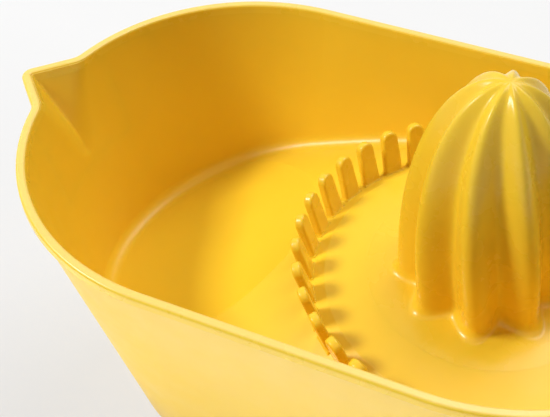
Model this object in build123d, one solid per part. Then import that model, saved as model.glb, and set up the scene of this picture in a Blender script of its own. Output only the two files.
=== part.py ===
from build123d import *
from math import atan2, cos, degrees, radians, sin, sqrt, tan
import os

# A one-piece moulded citrus squeezer: a deep tub with rounded ends and leaning walls, a pouring
# spout at one end, a fluted reamer at the other and a fence of slats that holds back the pips.
# Each moulded feature is a solid of its own and meets its neighbours face to face.
# X runs along the tub, away from the spout, and is 0 on the reamer's axis until the last step.
# Z is up from the face that the squeezer stands on. Sizes are in millimetres.

# Tub
tub_half_width = 57.8           # outside of the rim, across the tub
end_arc_spacing = 66.0          # between the centres of the two rounded ends
tub_height = 90.4               # from the table to the top of the rim
wall_lean = 12.9                # degrees from upright
wall_thickness = 2.1            # measured level, so it is the same at every height

# Rim
rim_width = 2.4
rim_depth = 2.4
rim_outer_rounding = 0.8
rim_inner_rounding = 0.5
rim_steep_share = 0.67          # of that rounding's height, the steep lower part
rim_steep_spread = 0.25         # of its width

# Pouring spout
spout_reach = 8.9              # from the rounded end's outline to the tip
spout_half_angle = 45.0         # degrees, each side of the V seen from above
spout_tip_radius = 3.2
spout_mouth_radius = 5.5
groove_drop = 22.3              # from the rim to where the groove inside dies out
ridge_drop = 25.2               # the same for the ridge outside
spout_half_width = 17.0         # of the spout's own solid
spout_solid_drop = 28.0

# Floor: a level seat for the reamer, a gently sloping ring round it, then a steeper cone
seat_radius = 25.0
ring_radius = 40.8              # where the floor turns steeper
ring_height = 65.5              # there, above the table
ring_slope = 10.6               # degrees
floor_slope = 25.6              # degrees
floor_thickness = 2.5
floor_edge_radius = 3.5

# Well, a deeper stretch of floor at the spout end with a rounded front edge
well_edge_radius = 38.4        # seen from above
well_edge_centre = 87.9         # from the reamer's axis
well_low_height = 32.4          # above the table, at the low end
well_low_distance = 107.0       # from the reamer's axis

# Fence
slat_count = 15
slat_pitch = 9.7               # degrees
fence_radius = 44.6
slat_base_width = 5.4
slat_top_width = 4.7
slat_thickness = 2.4
slat_lean = 17.0                # degrees outwards
slat_height = 12.5
slat_edge_rounding = 0.7
slat_foot_spread = 0.55         # small flare where a slat meets the floor
slat_root = 1.0                 # drawn below the floor, then cut away

# Reamer
flute_count = 9
first_crest_angle = 197.5       # degrees, seen from above
reamer_top = 130.7              # above the table
reamer_belly_radius = 22.9      # out to a crest
reamer_belly_height = 86.9      # above the table, where the dome starts
reamer_base_radius = 21.6
dome_power = 2.8                # 2 is an ellipse, more is squarer
crest_rounding = 2.2
flute_depth = 4.1
reamer_wall = 3.0
reamer_root_fillet = 2.0
reamer_disc_radius = 30.0       # floor moulded with the reamer

# Foot
foot_height = 2.5
foot_rounding = 0.6

# Everything below is worked out from the sizes above.
lean_ratio = tan(radians(wall_lean))
slope_ratio = tan(radians(floor_slope))
ring_ratio = tan(radians(ring_slope))
inner_half_width = tub_half_width - rim_width
wall_half_width = inner_half_width + wall_thickness
rim_underside = tub_height - rim_depth
reach = 2 * (end_arc_spacing + tub_half_width)      # longer than anything it has to cut


def stadium(half_width):
    """The tub's plan outline without the spout."""
    return Pos(-end_arc_spacing / 2, 0) * SlotCenterToCenter(end_arc_spacing, 2 * half_width)


def leaning_tub(half_width):
    """Solid tub with leaning sides, from the rim down to the table; half_width is at the top."""
    outline = Plane.XY.offset(tub_height) * stadium(half_width)
    return extrude(outline, amount=-tub_height, taper=wall_lean)


def box_between(low, high):
    size = [high[i] - low[i] for i in range(3)]
    middle = [(high[i] + low[i]) / 2 for i in range(3)]
    return Pos(*middle) * Box(*size)


# The rim's outline with the spout's V joined on, rounded at the tip and where it meets the arc.
tip_cut_back = spout_tip_radius * (1 / sin(radians(spout_half_angle)) - 1)
sharp_tip = -end_arc_spacing - tub_half_width - spout_reach - tip_cut_back
v_length = end_arc_spacing / 2
v_half_width = v_length * tan(radians(spout_half_angle))
v_shape = Polygon(
    (sharp_tip, 0),
    (sharp_tip + v_length, -v_half_width),
    (sharp_tip + v_length, v_half_width),
    align=None)
rim_plan = stadium(tub_half_width) + v_shape
tip_corner = rim_plan.vertices().sort_by(Axis.X)[0]
mouth_corners = [v for v in rim_plan.vertices().sort_by(Axis.X)[1:3]]
rim_plan = fillet(tip_corner, spout_tip_radius)
mouth_corners = rim_plan.vertices().filter_by(
    lambda v: any((v.center() - m.center()).length < 0.01 for m in mouth_corners))
rim_plan = fillet(mouth_corners, spout_mouth_radius)
wall_plan = offset(rim_plan, amount=wall_half_width - tub_half_width)
inner_plan = offset(rim_plan, amount=-rim_width)


def spout_cone(plan, half_width, drop):
    """The V's bulge: straight lines from the plan at the rim to one point down on the wall."""
    mouth = sharp_tip + v_length / 2
    region = Pos((mouth - reach) / 2, 0) * Rectangle(reach + mouth, reach)
    end = Plane.XY.offset(tub_height) * (plan & region)
    apex = -end_arc_spacing - half_width + lean_ratio * drop
    return loft([end.face(), Vertex(apex, 0, tub_height - drop)], ruled=True)


outer = leaning_tub(wall_half_width) + spout_cone(wall_plan, wall_half_width, ridge_drop)
inner_tub = leaning_tub(inner_half_width)
inner_spout = spout_cone(inner_plan, inner_half_width, groove_drop)


def floor_height(radius):
    """How high the floor round the reamer is at a distance from the reamer's axis."""
    ratio = slope_ratio if radius > ring_radius else ring_ratio
    return ring_height + ratio * (ring_radius - radius)


def cone_ground(drop):
    """Everything under the floor around the reamer, its top surface lowered by drop."""
    profile = Polygon(
        (0, -reach),
        (reach, -reach),
        (reach, floor_height(reach) - drop),
        (ring_radius, ring_height - drop),
        (seat_radius, seat_height - drop),
        (0, seat_height - drop),
        align=None)
    return revolve(Plane.XZ * profile, Axis.Z)


def above_well(drop):
    """Everything above the well's floor, an extruded curve, lowered by drop.

    It crosses the cone exactly along the well's rounded front edge.
    """
    curve = []
    steps = 4
    for step in range(steps + 1):
        along = well_edge_radius * (1 - step / steps)
        x = well_edge_centre - along
        across = sqrt(well_edge_radius ** 2 - along ** 2)
        curve.append((-x, floor_height(sqrt(x ** 2 + across ** 2)) - drop))
    curve.append((-well_low_distance, well_low_height - drop))
    first = (curve[0][1] - curve[1][1]) / (curve[0][0] - curve[1][0])
    last = (curve[-2][1] - curve[-1][1]) / (curve[-2][0] - curve[-1][0])
    start = (-seat_radius, curve[0][1] + first * (-seat_radius - curve[0][0]))
    finish = (-reach, curve[-1][1] + last * (-reach - curve[-1][0]))
    middle = Spline(*curve, tangents=[(-1, -first), (-1, -last)])
    floor_line = Line(start, curve[0]) + middle + Line(curve[-1], finish)
    back = (-reach, reach)
    front = (start[0], reach)
    above = Line(finish, back) + Line(back, front) + Line(front, start)
    return extrude(Plane.XZ * make_face(floor_line + above), amount=reach, both=True)


def ground_below(drop):
    return cone_ground(drop) - above_well(drop)


seat_height = floor_height(seat_radius)
ground = ground_below(0)
lower_ground = ground_below(floor_thickness)


def on_inner_wall(edge):
    """True for an edge that runs along the inside of the leaning wall."""
    point = edge.position_at(0.5)
    past_arc = max(point.X, 0) + min(point.X + end_arc_spacing, 0)
    from_middle = sqrt(past_arc ** 2 + point.Y ** 2)
    wall_at = inner_half_width - lean_ratio * (tub_height - point.Z)
    return abs(from_middle - wall_at) < 0.05


def round_floor_edge(space):
    """Rounds the edge between the floor and the leaning wall."""
    edges = space.edges().filter_by(
        lambda e: on_inner_wall(e) and e.bounding_box().max.Z < rim_underside
        and abs(e.tangent_at(0.5).Z) < 0.9)
    return fillet(edges, floor_edge_radius)


over_cone = round_floor_edge(inner_tub - cone_ground(0))
over_well = round_floor_edge(inner_tub & above_well(0))
cavity = over_cone + over_well + inner_spout
hollow = inner_tub & lower_ground


def flared(plan, low, high, spread):
    """Solid between two heights whose outline grows by spread on the way up."""
    angle = degrees(atan2(spread, high - low))
    return extrude(Plane.XY.offset(low) * plan, amount=high - low, taper=-angle)


# Rim. Two short flares round its inner edge.
rim = Plane.XY.offset(rim_underside) * rim_plan
rim = extrude(rim, amount=rim_depth) - cavity
top_face = rim.faces().sort_by(Axis.Z)[-1]
rim = fillet(top_face.outer_wire().edges(), rim_outer_rounding)
steep_spread = rim_steep_spread * rim_inner_rounding
flare_start = offset(rim_plan, amount=-rim_width - lean_ratio * rim_inner_rounding)
flare_middle = offset(rim_plan, amount=-rim_width + steep_spread)
flare_low = tub_height - rim_inner_rounding
flare_break = flare_low + rim_steep_share * rim_inner_rounding
flare_growth = steep_spread + lean_ratio * rim_inner_rounding
rim = rim - flared(flare_start, flare_low, flare_break, flare_growth)
rim = rim - flared(flare_middle, flare_break, tub_height, rim_inner_rounding - steep_spread)

# Wall and floor in one, then the foot, the spout and the reamer's disc are parted from it.
shell = outer - cavity - hollow
shell = shell & box_between((-reach, -reach, 0), (reach, reach, rim_underside))
foot_box = box_between((-reach, -reach, 0), (reach, reach, foot_height))
spout_box = box_between(
    (-reach, -spout_half_width, tub_height - spout_solid_drop),
    (-end_arc_spacing, spout_half_width, rim_underside))
disc = Pos(0, 0, reach / 2) * Cylinder(reamer_disc_radius, reach)
foot = shell & foot_box
bottom_edges = foot.faces().sort_by(Axis.Z)[0].edges()
foot = fillet(bottom_edges, foot_rounding)
spout = shell & spout_box
tub = shell - foot_box - spout_box - disc


def fluted_section(crest_radius, height):
    """Closed outline of rounded crests and hollow flutes, all arcs meeting smoothly."""
    share = crest_radius / reamer_belly_radius
    round_off = crest_rounding * share
    trough = crest_radius - flute_depth * share
    arm = crest_radius - round_off
    half = radians(180 / flute_count)
    spare = 2 * (arm * cos(half) + round_off - trough)
    flute_radius = (arm ** 2 + trough ** 2 - 2 * arm * trough * cos(half) - round_off ** 2) / spare

    def polar(radius, angle):
        return Vector(radius * cos(angle), radius * sin(angle), height)

    edges = []
    for flute in range(flute_count):
        angle = radians(first_crest_angle) + 2 * half * flute
        crest = polar(arm, angle)
        next_crest = polar(arm, angle + 2 * half)
        flute_centre = polar(trough + flute_radius, angle + half)
        last_flute_centre = polar(trough + flute_radius, angle - half)
        before = crest + (last_flute_centre - crest).normalized() * round_off
        after = crest + (flute_centre - crest).normalized() * round_off
        next_before = next_crest + (flute_centre - next_crest).normalized() * round_off
        edges.append(ThreePointArc(before, polar(crest_radius, angle), after))
        edges.append(ThreePointArc(after, polar(trough, angle + half), next_before))
    return Face(Wire(edges))


def crest_radius_at(height):
    """How far the reamer's crests reach out at a height."""
    if height < reamer_belly_height:
        rise = (height - seat_height) / (reamer_belly_height - seat_height)
        return reamer_base_radius + rise * (reamer_belly_radius - reamer_base_radius)
    rise = (height - reamer_belly_height) / (reamer_top - reamer_belly_height)
    return reamer_belly_radius * (1 - rise ** 2) ** (1 / dome_power)


# Reamer: a root that spreads on to its seat, the fluted dome, and a smooth hollow inside
root_steps = 3
root_sections = []
for step in range(root_steps + 1):
    rise = reamer_root_fillet * (step / root_steps) ** 2
    spread = reamer_root_fillet - sqrt(reamer_root_fillet ** 2 - (reamer_root_fillet - rise) ** 2)
    section = fluted_section(crest_radius_at(seat_height + reamer_root_fillet), seat_height + rise)
    root_sections.append(offset(section, amount=spread).face() if spread > 0 else section)
root = loft(root_sections, ruled=True)
dome_start = seat_height + reamer_root_fillet
dome_sections = [fluted_section(crest_radius_at(dome_start), dome_start)]
for share in (0, 0.3, 0.52, 0.7, 0.83, 0.92, 0.975):
    height = reamer_belly_height + share * (reamer_top - reamer_belly_height)
    dome_sections.append(fluted_section(crest_radius_at(height), height))
dome_sections.append(Vertex(0, 0, reamer_top))
dome = loft(dome_sections)
hollow_points = []
for share in (0, 0.25, 0.5, 0.7, 0.84, 0.93):
    height = seat_height + share * (reamer_top - reamer_wall - seat_height)
    inside = crest_radius_at(height + reamer_wall)
    inside = inside * (1 - flute_depth / reamer_belly_radius) - reamer_wall
    hollow_points.append((inside, height))
hollow_top = (0, reamer_top - 2 * reamer_wall)
hollow_line = Spline(*hollow_points, hollow_top, tangents=[(0, 1), (-1, 0)])
hollow_floor = (hollow_points[0][0], 0)
hollow_side = Line((0, 0), hollow_floor) + Line(hollow_floor, hollow_points[0])
hollow_profile = make_face(hollow_line + hollow_side + Line(hollow_top, (0, 0)))
reamer_hollow = revolve(Plane.XZ * hollow_profile, Axis.Z)
slab = (disc & ground) - lower_ground
reamer = slab + root + dome - reamer_hollow

# Fence: every slat leans outwards, and its foot is cut to the sloping floor.
slat_arch = slat_top_width / 2
slat_face = Polygon(
    (-slat_base_width / 2, -slat_root),
    (slat_base_width / 2, -slat_root),
    (slat_arch, slat_height - slat_arch),
    (-slat_arch, slat_height - slat_arch),
    align=None) + Pos(0, slat_height - slat_arch) * Circle(slat_arch)
slat_plane = Plane(
    origin=(-fence_radius, 0, floor_height(fence_radius)),
    x_dir=(0, 1, 0),
    z_dir=(cos(radians(slat_lean)), 0, sin(radians(slat_lean))))
slat = extrude(slat_plane * slat_face, amount=slat_thickness / 2, both=True)
long_faces = [f for f in slat.faces() if abs(f.normal_at().dot(slat_plane.z_dir)) > 0.99]
slat_rims = [e for f in long_faces for e in f.edges() if e.center().Z > floor_height(fence_radius)]
slat = fillet(slat_rims, slat_edge_rounding)
foot_low = Rectangle(slat_base_width + 2 * slat_foot_spread, slat_thickness + 2 * slat_foot_spread)
foot_high = Rectangle(slat_base_width, slat_thickness)
up = Plane(origin=slat_plane.origin, x_dir=(0, 1, 0), z_dir=slat_plane.y_dir)
flare_ends = [up.offset(-slat_foot_spread) * foot_low, up.offset(slat_foot_spread) * foot_high]
flare = loft([end.face() for end in flare_ends], ruled=True)
slat = slat + flare
slats = []
first_slat = -(slat_count - 1) / 2
for number in range(slat_count):
    turned = Rot(0, 0, (first_slat + number) * slat_pitch) * slat
    slats.append(turned - ground)

pieces = {"tub": tub, "rim": rim, "pouring_spout": spout, "reamer": reamer, "foot": foot}
for number, piece in enumerate(slats, start=1):
    pieces[f"slat_{number:02d}"] = piece

# The finished frame has its origin on the table under the middle of the whole squeezer.
middle_x = (tub_half_width - end_arc_spacing - tub_half_width - spout_reach) / 2
os.makedirs("parts", exist_ok=True)
for name, piece in pieces.items():
    export_step(Pos(-middle_x, 0, 0) * piece, f"parts/{name}.step")
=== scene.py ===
import math

import bpy
from mathutils import Matrix, Vector


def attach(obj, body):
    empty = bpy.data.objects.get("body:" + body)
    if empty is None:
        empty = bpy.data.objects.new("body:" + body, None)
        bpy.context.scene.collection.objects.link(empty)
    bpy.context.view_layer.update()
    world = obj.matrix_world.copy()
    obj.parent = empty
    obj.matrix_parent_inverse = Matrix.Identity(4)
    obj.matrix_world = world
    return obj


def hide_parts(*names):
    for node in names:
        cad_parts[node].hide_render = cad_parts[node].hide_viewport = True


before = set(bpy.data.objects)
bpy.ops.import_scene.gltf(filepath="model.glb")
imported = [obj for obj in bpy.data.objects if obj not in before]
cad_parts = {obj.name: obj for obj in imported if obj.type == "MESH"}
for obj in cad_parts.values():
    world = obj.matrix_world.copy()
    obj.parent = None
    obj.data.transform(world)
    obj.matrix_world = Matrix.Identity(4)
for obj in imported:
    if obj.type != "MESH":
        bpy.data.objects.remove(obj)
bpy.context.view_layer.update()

# Tub
# One injection moulding in polypropylene, coloured yellow right through: leaning walls, a floor
# that falls from the reamer's seat to a well, and a hollow underside. The mould was polished, so
# the walls have a soft gloss with a faint waviness where the plastic shrank as it cooled.
MM = 0.001                       # one millimetre in Blender's metres


def linear(hex_colour):
    """An sRGB hex colour as linear red, green, blue and alpha."""
    parts = [int(hex_colour[i:i + 2], 16) / 255 for i in (1, 3, 5)]
    return [p / 12.92 if p < 0.04045 else ((p + 0.055) / 1.055) ** 2.4 for p in parts] + [1.0]


def add_node(tree, kind, settings=None, links=None):
    """Adds a shader node; settings are its properties and sockets, links the outputs it takes in."""
    node = tree.nodes.new(kind)
    for name, value in (settings or {}).items():
        if hasattr(node, name):
            setattr(node, name, value)
        else:
            node.inputs[name].default_value = value
    for name, output in (links or {}).items():
        tree.links.new(output, node.inputs[name])
    return node


def moulded_polypropylene(name, colour, flow_colour, roughness, shrink_depth):
    """Yellow polypropylene from a polished mould.

    The eye gets a strong warm yellow, a soft-edged highlight, a little light that spreads inside the
    plastic, and two kinds of unevenness: broad shrink waves and a fine grain left by the mould.
    """
    material = bpy.data.materials.new(name)
    material.use_nodes = True
    tree = material.node_tree
    plastic = tree.nodes["Principled BSDF"]
    place = add_node(tree, "ShaderNodeTexCoord").outputs["Object"]

    flow_width = 45 * MM         # of the pale streaks that the melt leaves as it fills the mould
    flow = add_node(tree, "ShaderNodeTexNoise",
                    {"Scale": 1 / flow_width, "Detail": 3.0, "Roughness": 0.45, "Distortion": 0.6},
                    {"Vector": place})
    tint = add_node(tree, "ShaderNodeMix",
                    {"data_type": "RGBA", "A": linear(colour), "B": linear(flow_colour)},
                    {"Factor": flow.outputs["Fac"]})
    tree.links.new(tint.outputs["Result"], plastic.inputs["Base Color"])

    smear_width = 9 * MM         # patches where the mould's polish is a little duller
    smear = add_node(tree, "ShaderNodeTexNoise", {"Scale": 1 / smear_width, "Detail": 4.0}, {"Vector": place})
    glossiest = roughness - 0.04
    dullest = roughness + 0.05
    gloss = add_node(tree, "ShaderNodeMapRange",
                     {"From Min": 0.3, "From Max": 0.7, "To Min": glossiest, "To Max": dullest},
                     {"Value": smear.outputs["Fac"]})
    tree.links.new(gloss.outputs["Result"], plastic.inputs["Roughness"])

    shrink_width = 16 * MM       # from one shrink wave to the next
    shrink = add_node(tree, "ShaderNodeTexNoise",
                      {"Scale": 1 / shrink_width, "Detail": 1.0},
                      {"Vector": place})
    waves = add_node(tree, "ShaderNodeBump",
                     {"Strength": 1.0, "Distance": shrink_depth},
                     {"Height": shrink.outputs["Fac"]})
    grain_width = 0.7 * MM       # drawn coarser than the real mould grain, so that it shows
    grain = add_node(tree, "ShaderNodeTexNoise", {"Scale": 1 / grain_width, "Detail": 2.0}, {"Vector": place})
    surface = add_node(tree, "ShaderNodeBump",
                       {"Strength": 0.35, "Distance": 0.012 * MM},
                       {"Height": grain.outputs["Fac"], "Normal": waves.outputs["Normal"]})
    tree.links.new(surface.outputs["Normal"], plastic.inputs["Normal"])

    plastic.inputs["IOR"].default_value = 1.49
    plastic.inputs["Specular IOR Level"].default_value = 0.4
    plastic.inputs["Subsurface Weight"].default_value = 0.12
    plastic.inputs["Subsurface Radius"].default_value = (1.0, 0.55, 0.12)
    plastic.inputs["Subsurface Scale"].default_value = 3 * MM
    return material


def dress(node, material):
    """Gives a CAD node its material."""
    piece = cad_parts[node]
    piece.data.materials.clear()
    piece.data.materials.append(material)


moulded_yellow = "#F1C72C"
moulded_yellow_streak = "#F4CD36"
tub_plastic = moulded_polypropylene("polypropylene_satin_tub", moulded_yellow, moulded_yellow_streak,
                                    roughness=0.34, shrink_depth=0.25 * MM)
dress("tub", tub_plastic)

# Rim
# A flat bead moulded round the top of the wall, wider than the wall is thick. Hands and fruit rub it,
# so it is a little glossier than the walls. Its yellow is painted a touch paler than the tub's, and its flat
# top paler still: painted highlight where the light falls on the rim.
rim_plastic = moulded_polypropylene("polypropylene_rim_painted_highlight", "#F4CB34", "#F7D13E",
                                    roughness=0.28, shrink_depth=0.08 * MM)
rim_tree = rim_plastic.node_tree
rim_colour = rim_tree.nodes["Principled BSDF"].inputs["Base Color"]
rim_flow_tint = rim_colour.links[0].from_socket
# Painted highlight: faces that look straight up are mixed towards a pale yellow, for the light that falls on
# the rim's top.
rim_surface = add_node(rim_tree, "ShaderNodeNewGeometry")
facing = add_node(rim_tree, "ShaderNodeSeparateXYZ", links={"Vector": rim_surface.outputs["Normal"]})
lit_top_share = add_node(rim_tree, "ShaderNodeMapRange",
                  {"From Min": 0.72, "From Max": 0.98},        # 1 faces straight up
                  {"Value": facing.outputs["Z"]})
painted_top_highlight = add_node(rim_tree, "ShaderNodeMix",
                 {"data_type": "RGBA", "B": linear("#FBD873")},
                 {"Factor": lit_top_share.outputs["Result"], "A": rim_flow_tint})
rim_tree.links.new(painted_top_highlight.outputs["Result"], rim_colour)
dress("rim", rim_plastic)

# Pouring spout
# A V pressed out of the wall. Its groove has a small radius, its sides run out into the wall
# without an edge, and inside and outside it dies away before the wall's middle.
far_end_x = 37.45                # millimetres: the middle of the tub's far round end
end_spacing = 66.0               # from there to the middle of the round end with the spout
spout_end_x = far_end_x - end_spacing
rim_top = 90.4
spout_low = 62.4                 # the piece of wall that is moulded with the spout: its lower edge,
spout_high = 88.0                # its upper edge, under the rim,
spout_side = 17.0                # and half of its width
lean = math.tan(math.radians(12.9))
merge_growth = 2.5               # how much wider the V blends into the wall at its foot than at the rim
fade_height = 5.0                # over this height that blend grows from the piece's lower edge
least_merge = 0.001              # keeps the blend above nothing at the lower edge
sharp_edge = math.radians(50)    # faces that meet at more than this keep an edge between them
columns = 96
rows = 64


def spout_surface(wall_radius, tip_reach, drop, tip_round, merge):
    """One face of the spout's wall, in rows of points: the V or the leaning wall, whichever is further out.

    wall_radius and tip_reach are how far the wall and the V reach at the rim, drop is how far below the
    rim the V runs out, tip_round is the groove's radius, and merge is the width of the blend.
    """
    foot_reach = wall_radius - lean * drop
    points = []
    for row in range(rows + 1):
        z = spout_low + (spout_high - spout_low) * row / rows
        down = (rim_top - z) / drop
        tip = tip_reach + (foot_reach - tip_reach) * down
        fade = min((z - spout_low) / fade_height, 1.0)
        blend = (merge + merge_growth * down) * fade * fade * (3 - 2 * fade) + least_merge
        soft_tip = tip_round * (1 + down)
        for column in range(columns + 1):
            y = spout_side * (2 * column / columns - 1)
            wall = math.sqrt((wall_radius - lean * (rim_top - z)) ** 2 - y ** 2)
            vee = tip - math.hypot(y, soft_tip)
            overlap = max(blend - abs(wall - vee), 0) / blend
            reach = max(wall, vee) + overlap ** 2 * blend / 4
            points.append((spout_end_x - reach, y, z))
    return points


def moulded_piece(name, points, faces, material, node):
    """A mesh of the squeezer's own body, in millimetres, that stands in for a CAD node."""
    mesh = bpy.data.meshes.new(name)
    mesh.from_pydata([(x * MM, y * MM, z * MM) for x, y, z in points], [], faces)
    mesh.validate()
    for face in mesh.polygons:
        face.use_smooth = True
    mesh.set_sharp_from_angle(angle=sharp_edge)
    mesh.materials.append(material)
    piece = bpy.data.objects.new(name, mesh)
    bpy.context.scene.collection.objects.link(piece)
    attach(piece, "root")
    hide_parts(node)


inner_sheet = spout_surface(wall_radius=55.4, tip_reach=64.63, drop=22.3, tip_round=0.33, merge=1.5)
outer_sheet = spout_surface(wall_radius=57.5, tip_reach=67.61, drop=25.2, tip_round=1.2, merge=1.1)
row_length = columns + 1
to_outer = len(inner_sheet)      # from a point on the inner sheet to the one behind it
spout_faces = []
for row in range(rows):
    for column in range(columns):
        corner = row * row_length + column
        quad = (corner, corner + 1, corner + 1 + row_length, corner + row_length)
        spout_faces.append(tuple(reversed(quad)))
        spout_faces.append(tuple(point + to_outer for point in quad))
edge_loop = (list(range(columns))
             + [row * row_length + columns for row in range(rows)]
             + [rows * row_length + columns - column for column in range(columns)]
             + [(rows - row) * row_length for row in range(rows)])
for start, end in zip(edge_loop, edge_loop[1:] + edge_loop[:1]):
    spout_faces.append((start, end, end + to_outer, start + to_outer))
moulded_piece("spout_moulding", inner_sheet + outer_sheet, spout_faces, tub_plastic, "pouring_spout")

# Foot
# The lower edge of the wall, which the squeezer stands on. It is the same plastic from the same
# mould as the tub.
dress("foot", tub_plastic)

# Reamer
# A tall fluted dome, moulded hollow from below. Its crests turn a little and grow narrower on the
# way up, and its foot runs out on to the floor in one curve. Its mould is polished best, because
# pulp has to slide off.
reamer_x = 36.25                 # millimetres, like every size here
reamer_y = -1.4
disc_x = far_end_x               # the middle of the round of floor that is moulded with the reamer
disc_radius = 30.15              # laps over the floor round it by a hair, so that no joint shows
disc_height = 67.504             # top of that floor at its edge
disc_slope = 0.187               # rise over run at that edge, towards the reamer
levelling_run = 10.0             # over which the slope dies away
floor_thickness = 2.5
foot_fillet = 3.0
reamer_height = 61.3             # above the floor it stands on
base_radius = 20.7               # out to a crest
top_spread = 4.7                 # how much wider than an ellipse the dome is towards its top
flute_count = 9
flute_depth = 5.0                # at the foot
crest_width = 1.4                # how round a crest is at the foot; 0 is a sharp one
crest_narrowing = 0.8            # the share of that which is gone at the top
first_crest = math.radians(202.0)
crest_turn = math.radians(-25.6)        # from the floor to the top
inner_wall = 3.0                 # between the flutes and the hollow, at the foot
wall_thinning = 0.5              # the share of that which is gone at the top
hollow_top = 0.93                # of the reamer's height
hollow_spacing = 0.8             # under 1 sets the hollow's rings closer near its top
hollow_least_radius = 0.4
ring_points = 28 * flute_count
floor_rings = 8
fillet_rings = 8
dome_rings = 60
hollow_rings = 30


def floor_level(distance):
    """Height of the floor at a distance from the disc's middle: it levels out towards the reamer."""
    run = min(disc_radius - distance, levelling_run)
    return disc_height + disc_slope * (run - run ** 2 / (2 * levelling_run))


def flute_cut(turn, share):
    """How far the flutes cut in at an angle and a share of the height, from 0 at a crest to 1."""
    pitch = 2 * math.pi / flute_count
    from_crest = (turn - first_crest - crest_turn * share) / pitch
    off = 2 * abs(from_crest - round(from_crest))
    width = crest_width * (1 - crest_narrowing * share)
    soft = (math.hypot(off, width) - width) / (math.hypot(1, width) - width)
    return 1 - (1 - soft) ** 2


def dome_radius(share):
    """How far the crests reach out at a share of the reamer's height."""
    return (base_radius + top_spread * share) * math.sqrt(1 - share ** 2)


def fluted_ring(share, spread, height):
    """One ring round the reamer: fluted, and grown by spread."""
    crest = dome_radius(share)
    ring = []
    for step in range(ring_points):
        turn = 2 * math.pi * step / ring_points
        reach = crest - flute_depth * crest / base_radius * flute_cut(turn, share) + spread
        ring.append((reamer_x + reach * math.cos(turn), reamer_y + reach * math.sin(turn), height))
    return ring


def round_ring(x, y, radius, height):
    """One plain ring with its middle at x and y."""
    ring = []
    for step in range(ring_points):
        turn = 2 * math.pi * step / ring_points
        ring.append((x + radius * math.cos(turn), y + radius * math.sin(turn), height))
    return ring


# The rings run from the disc's lower edge over the floor and the dome to the tip, and then from the
# top of the hollow down to its mouth.
seat = floor_level(0.0)
rings = [round_ring(disc_x, 0.0, disc_radius, disc_height - floor_thickness),
         round_ring(disc_x, 0.0, disc_radius, disc_height)]
fillet_share = foot_fillet / reamer_height
disc_edge = rings[-1]
fillet_edge = fluted_ring(fillet_share, foot_fillet, seat)
for step in range(1, floor_rings + 1):
    part = step / floor_rings
    ring = []
    for start, end in zip(disc_edge, fillet_edge):
        x = start[0] + part * (end[0] - start[0])
        y = start[1] + part * (end[1] - start[1])
        ring.append((x, y, floor_level(math.hypot(x - disc_x, y))))
    rings.append(ring)
floor_heights = [point[2] for point in rings[-1]]
for step in range(1, fillet_rings + 1):
    bend = math.radians(90 * step / fillet_rings)
    ring = fluted_ring(fillet_share, foot_fillet * (1 - math.sin(bend)), 0.0)
    lift = foot_fillet * (1 - math.cos(bend))
    rings.append([(x, y, floor + lift) for (x, y, _), floor in zip(ring, floor_heights)])
for step in range(1, dome_rings + 1):
    rise = math.radians(90 * step / (dome_rings + 0.5))       # half a step short, so the tip keeps a size
    share = fillet_share + (1 - fillet_share) * math.sin(rise)
    rings.append(fluted_ring(share, 0.0, seat + reamer_height * share))
tip_ring = len(rings) - 1
for step in range(hollow_rings):
    share = hollow_top * math.cos(math.radians(90 * step / (hollow_rings - 1))) ** hollow_spacing
    flute_radius = dome_radius(share) * (1 - flute_depth / base_radius)
    radius = max(flute_radius - inner_wall * (1 - wall_thinning * share), hollow_least_radius)
    rings.append(round_ring(reamer_x, reamer_y, radius, seat - floor_thickness + reamer_height * share))
reamer_points = [point for ring in rings for point in ring]

reamer_faces = []
for lower in range(len(rings)):
    if lower == tip_ring:
        continue                 # the tip and the top of the hollow are closed by faces of their own
    upper = (lower + 1) % len(rings)
    for step in range(ring_points):
        after = (step + 1) % ring_points
        reamer_faces.append((lower * ring_points + step, lower * ring_points + after,
                             upper * ring_points + after, upper * ring_points + step))
reamer_faces.append(tuple(tip_ring * ring_points + step for step in range(ring_points)))
reamer_faces.append(tuple((tip_ring + 1) * ring_points + step for step in reversed(range(ring_points))))
reamer_plastic = moulded_polypropylene("polypropylene_polished_reamer", moulded_yellow, moulded_yellow_streak,
                                       roughness=0.27, shrink_depth=0.12 * MM)
moulded_piece("reamer_moulding", reamer_points, reamer_faces, reamer_plastic, "reamer")

# Fence
# An arc of short upright slats with rounded tops, moulded with the floor, that holds back the pips.
# They are too small to shrink much, so their faces are nearly flat.
slat_plastic = moulded_polypropylene("polypropylene_polished_slats", moulded_yellow, moulded_yellow_streak,
                                     roughness=0.27, shrink_depth=0.03 * MM)
for node in sorted(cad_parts):
    if node.startswith("slat"):
        dress(node, slat_plastic)

# Floor
# A plain white board as the table top, wide enough to fill every view, with a very fine paper-like
# tooth. It looks light grey in front of the squeezer and white behind it.
table_half = 4.0                 # metres
table = bpy.data.meshes.new("table")
table.from_pydata([(-table_half, -table_half, 0), (table_half, -table_half, 0),
                   (table_half, table_half, 0), (-table_half, table_half, 0)], [], [(0, 1, 2, 3)])
table_top = bpy.data.objects.new("table", table)
bpy.context.scene.collection.objects.link(table_top)

# Uncoated white board: no gloss, only a fine tooth that breaks up the light.
white_board = bpy.data.materials.new("matt_white_board")
white_board.use_nodes = True
board_tree = white_board.node_tree
board = board_tree.nodes["Principled BSDF"]
board.inputs["Base Color"].default_value = linear("#F2F2F2")
board.inputs["Roughness"].default_value = 0.9
board_place = add_node(board_tree, "ShaderNodeTexCoord").outputs["Object"]
tooth_width = 0.9 * MM           # drawn coarser than real board, so that it shows
tooth = add_node(board_tree, "ShaderNodeTexNoise", {"Scale": 1 / tooth_width, "Detail": 2.0},
                 {"Vector": board_place})
pressed = add_node(board_tree, "ShaderNodeBump", {"Strength": 0.5, "Distance": 0.08 * MM},
                   {"Height": tooth.outputs["Fac"]})
board_tree.links.new(pressed.outputs["Normal"], board.inputs["Normal"])


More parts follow.
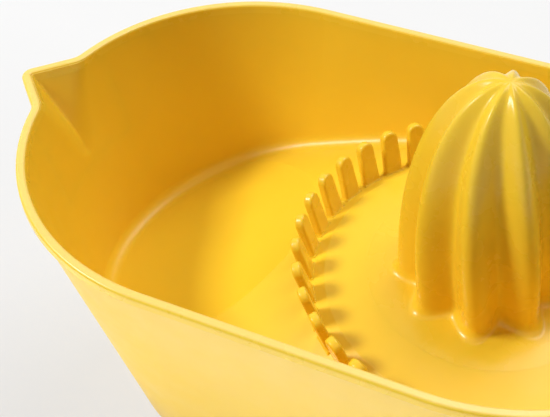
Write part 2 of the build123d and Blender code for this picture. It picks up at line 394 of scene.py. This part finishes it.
def seen_directly(tree):
    """1 for rays from the camera and for mirrored or refracted ones, which should find a white room."""
    ray = add_node(tree, "ShaderNodeLightPath")
    first = add_node(tree, "ShaderNodeMath", {"operation": "MAXIMUM"})
    tree.links.new(ray.outputs["Is Camera Ray"], first.inputs[0])
    tree.links.new(ray.outputs["Is Glossy Ray"], first.inputs[1])
    second = add_node(tree, "ShaderNodeMath", {"operation": "MAXIMUM"})
    tree.links.new(first.outputs["Value"], second.inputs[0])
    tree.links.new(ray.outputs["Is Transmission Ray"], second.inputs[1])
    return second.outputs["Value"]


glow_share = 0.7                 # of what is seen of the board; the rest keeps the shadow
along = add_node(board_tree, "ShaderNodeSeparateXYZ", links={"Vector": board_place})
backwards = add_node(board_tree, "ShaderNodeMapRange",
                     {"From Min": -60 * MM, "From Max": 120 * MM},
                     {"Value": along.outputs["Y"]})
glow_colour = add_node(board_tree, "ShaderNodeMix",
                       {"data_type": "RGBA", "A": linear("#EBEBEC"), "B": linear("#FFFFFF")},
                       {"Factor": backwards.outputs["Result"]})
glow = add_node(board_tree, "ShaderNodeEmission",
                {"Strength": 0.93},
                {"Color": glow_colour.outputs["Result"]})
glow_seen = add_node(board_tree, "ShaderNodeMath", {"operation": "MULTIPLY"})
board_tree.links.new(seen_directly(board_tree), glow_seen.inputs[0])
glow_seen.inputs[1].default_value = glow_share
both = add_node(board_tree, "ShaderNodeMixShader", links={"Fac": glow_seen.outputs["Value"]})
board_tree.links.new(board.outputs["BSDF"], both.inputs[1])
board_tree.links.new(glow.outputs["Emission"], both.inputs[2])
board_tree.links.new(both.outputs["Shader"], board_tree.nodes["Material Output"].inputs["Surface"])
table.materials.append(white_board)

# Light
# A window lamp on the spout's side throws the shadows, and a wide room lamp behind fills them. A
# card that lies in front of the near wall lights it from below, as a white table does. The sky
# gives a little even light and looks white.
lamp_aim = Vector((0.0, 0.0, 60 * MM))
lamp_distance = 1.3


def soft_lamp(name, azimuth, elevation, size, power):
    """A square lamp that looks at the squeezer; azimuth is from +X towards +Y, in degrees."""
    lamp = bpy.data.lights.new(name, "AREA")
    lamp.size = size
    lamp.energy = power
    holder = bpy.data.objects.new(name, lamp)
    bpy.context.scene.collection.objects.link(holder)
    turn = math.radians(azimuth)
    rise = math.radians(elevation)
    outward = Vector((math.cos(turn) * math.cos(rise), math.sin(turn) * math.cos(rise), math.sin(rise)))
    holder.location = lamp_aim + outward * lamp_distance
    holder.rotation_euler = outward.to_track_quat("Z", "Y").to_euler()


soft_lamp("window", azimuth=206, elevation=43, size=0.30, power=11.6)
soft_lamp("room", azimuth=72, elevation=60, size=0.8, power=9.2)

card = bpy.data.lights.new("card", "AREA")
card.shape = "RECTANGLE"
card.size = 420 * MM
card.size_y = 160 * MM
card.energy = 0.21
card_place = bpy.data.objects.new("card", card)
bpy.context.scene.collection.objects.link(card_place)
card_place.location = Vector((-20, -140, 1)) * MM
card_place.rotation_euler = (math.pi, 0.0, 0.0)               # face up
card_place.visible_camera = False

sky = bpy.data.worlds.new("pale_sky")
sky.use_nodes = True
sky_tree = sky.node_tree
sky_tree.nodes.clear()
sky_light = add_node(sky_tree, "ShaderNodeBackground", {"Color": (1, 1, 1, 1), "Strength": 0.21})
sky_look = add_node(sky_tree, "ShaderNodeBackground", {"Color": (1, 1, 1, 1), "Strength": 0.97})
either = add_node(sky_tree, "ShaderNodeMixShader", links={"Fac": seen_directly(sky_tree)})
sky_tree.links.new(sky_light.outputs["Background"], either.inputs[1])
sky_tree.links.new(sky_look.outputs["Background"], either.inputs[2])
add_node(sky_tree, "ShaderNodeOutputWorld", links={"Surface": either.outputs["Shader"]})
bpy.context.scene.world = sky

# Camera
# A close view from above the near long side. The lens is shifted down a little, so that the walls
# stay upright.
view_target = Vector((-32.9, 27.1, 63.6)) * MM
view_azimuth = math.radians(-64.6)
view_elevation = math.radians(43.0)
view_roll = math.radians(-2.0)
view_distance = 322.4 * MM
away = Vector((math.cos(view_elevation) * math.cos(view_azimuth),
               math.cos(view_elevation) * math.sin(view_azimuth),
               math.sin(view_elevation)))
right = Vector((-math.sin(view_azimuth), math.cos(view_azimuth), 0.0))
up = away.cross(right)
tilted_right = right * math.cos(view_roll) + up * math.sin(view_roll)
tilted_up = up * math.cos(view_roll) - right * math.sin(view_roll)
lens = bpy.data.cameras.new("camera")
lens.sensor_width = 36.0
lens.lens = 73.3
lens.shift_y = -0.1245
lens.clip_start = 0.01
camera = bpy.data.objects.new("camera", lens)
turned = Matrix((tilted_right, tilted_up, away)).transposed().to_4x4()
camera.matrix_world = Matrix.Translation(view_target + away * view_distance) @ turned
bpy.context.scene.collection.objects.link(camera)
bpy.context.scene.camera = camera

bpy.context.scene.view_settings.view_transform = "Standard"
